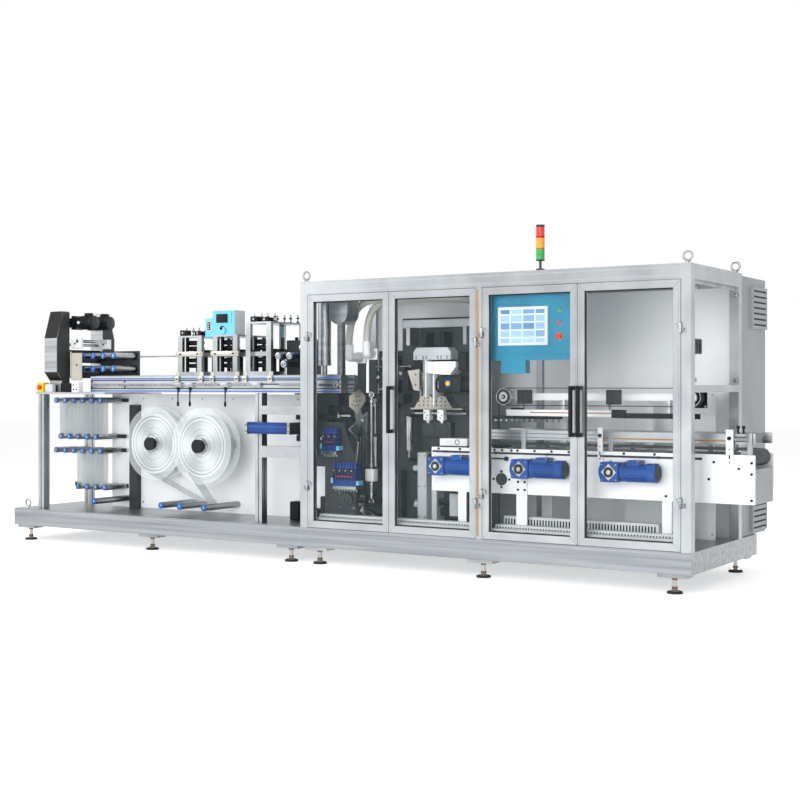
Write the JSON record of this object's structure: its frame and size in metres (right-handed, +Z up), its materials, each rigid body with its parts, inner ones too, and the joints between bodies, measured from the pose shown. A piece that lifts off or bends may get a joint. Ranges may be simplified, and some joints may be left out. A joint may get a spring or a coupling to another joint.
{
  "type": "wet tissue packing machine",
  "caption": "Packing machine on a steel base: an open film module with reels, rollers and forming stations, then a glazed guard over folding gear and an outfeed conveyor.",
  "frame": {"origin": "on the floor, under the middle of the machine's box", "axes": "+X along the machine to the outfeed, +Y from the doors to the back, +Z up"},
  "size_m": [5.82, 1.498, 2.176],
  "materials": {
    "brushed_stainless": "brushed",
    "silver_aluminium": "satin anodised",
    "clear_sheet": "clear",
    "white_paint": "satin powder coat",
    "grey_paint": "satin powder coat",
    "black_plastic": "moulded",
    "black_metal": "black oxide",
    "blue_enamel": "gloss enamel",
    "teal_panel": "satin",
    "screen_glass": "gloss",
    "chromed_steel": "polished",
    "film": "clear film",
    "belt": "fabric belt",
    "blue_plastic": "moulded",
    "light_blue": "satin",
    "lamp_plastic": "lens",
    "hose_rubber": "ribbed",
    "cable_rubber": "matt"
  },
  "bodies": {
    "root": {"bank_rollers": "blue_plastic", "base_deck": "brushed_stainless", "base_long_rails": "brushed_stainless", "cable_ducts": "white_paint", "clipped_cable": "cable_rubber", "control_boxes": "light_blue", "control_panel": "teal_panel", "conveyor_belt": "belt", "conveyor_frame": "white_paint", "dark_panels": "black_metal", "electrical_cabinet": "white_paint", "end_panel_fittings": "brushed_stainless", "end_panel_glass": "clear_sheet", "feet": "chromed_steel", "film_web": "film", "folding_head": "white_paint", "forming_stations": "silver_aluminium", "geared_motors": "blue_enamel", "guard_cross_beams": "silver_aluminium", "guard_long_beams": "silver_aluminium", "guard_panels": "white_paint", "guard_posts": "silver_aluminium", "guide_rails": "white_paint", "head_gear": "black_metal", "head_housings": "brushed_stainless", "hinge_leaves": "silver_aluminium", "idler_rollers": "blue_plastic", "left_back_panel": "grey_paint", "lifting_eyes": "chromed_steel", "link_arms": "black_metal", "overhead_belt": "black_metal", "overhead_frame": "white_paint", "push_rods": "chromed_steel", "reel_shafts": "chromed_steel", "roller_carriers": "black_metal", "screen": "screen_glass", "signal_tower": "lamp_plastic", "slotted_frame": "silver_aluminium", "table_cross_beams": "silver_aluminium", "table_fittings": "black_metal", "tank": "brushed_stainless", "valve_blocks": "blue_enamel", "vent_hose_1": "hose_rubber", "vent_hose_2": "hose_rubber"},
    "door_1": {"door_1_frame": "silver_aluminium", "door_1_glass": "clear_sheet"},
    "door_2": {"door_2_frame": "silver_aluminium", "door_2_glass": "clear_sheet", "door_2_handle": "black_plastic"},
    "door_3": {"door_3_frame": "silver_aluminium", "door_3_glass": "clear_sheet", "door_3_handle": "black_plastic"},
    "door_4": {"door_4_frame": "silver_aluminium", "door_4_glass": "clear_sheet", "door_4_handle": "black_plastic"},
    "reel_1": {"reel_1_film": "film", "reel_1_spool": "clear_sheet"},
    "reel_2": {"reel_2_film": "film", "reel_2_spool": "clear_sheet"},
    "blue_roller": {"blue_roller": "blue_enamel"}
  },
  "joints": [
    {"name": "door_1_hinge", "type": "hinge", "parent": "root", "child": "door_1", "pos_m": [-0.0935, -0.705, 0], "axis": [0, 0, -1], "range_deg": [0, 110]},
    {"name": "door_2_hinge", "type": "hinge", "parent": "root", "child": "door_2", "pos_m": [1.1985, -0.705, 0], "axis": [0, 0, 1], "range_deg": [0, 85]},
    {"name": "door_3_hinge", "type": "hinge", "parent": "root", "child": "door_3", "pos_m": [1.2415, -0.705, 0], "axis": [0, 0, -1], "range_deg": [0, 85]},
    {"name": "door_4_hinge", "type": "hinge", "parent": "root", "child": "door_4", "pos_m": [2.5335, -0.705, 0], "axis": [0, 0, 1], "range_deg": [0, 110]},
    {"name": "reel_1_spin", "type": "hinge", "parent": "root", "child": "reel_1", "pos_m": [-1.798, -0.345, 0.759], "axis": [0, 1, 0], "continuous": true},
    {"name": "reel_2_spin", "type": "hinge", "parent": "root", "child": "reel_2", "pos_m": [-1.198, -0.495, 0.759], "axis": [0, 1, 0], "continuous": true},
    {"name": "blue_roller_spin", "type": "hinge", "parent": "root", "child": "blue_roller", "pos_m": [-0.4477, -0.645, 0.906], "axis": [1, 0, 0], "continuous": true}
  ]
}
